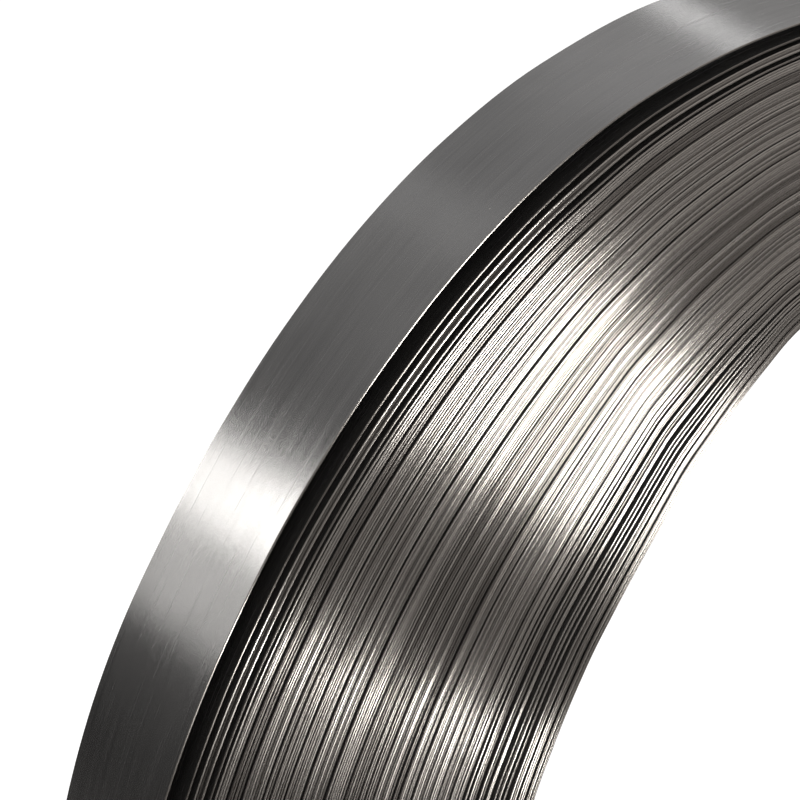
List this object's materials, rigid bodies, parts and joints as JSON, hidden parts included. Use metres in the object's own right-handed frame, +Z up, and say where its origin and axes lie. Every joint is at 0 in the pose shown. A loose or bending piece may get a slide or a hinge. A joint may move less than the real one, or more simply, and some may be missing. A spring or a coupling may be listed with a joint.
{
  "type": "steel coil",
  "caption": "Coil of thin narrow steel strip wound flat, turn on turn, round an open bore, with a loose outermost turn and bare slit edges on both ends.",
  "frame": {"origin": "under the middle of the coil, where its rim stands on the floor", "axes": "+Z up, winding axis along Y, X across the coil"},
  "size_m": [0.212, 0.02, 0.212],
  "materials": {
    "strip_steel": "cold-rolled satin flats brushed along the strip, bright slit edges"
  },
  "bodies": {
    "root": {"strip_coil": "strip_steel"}
  },
  "joints": []
}
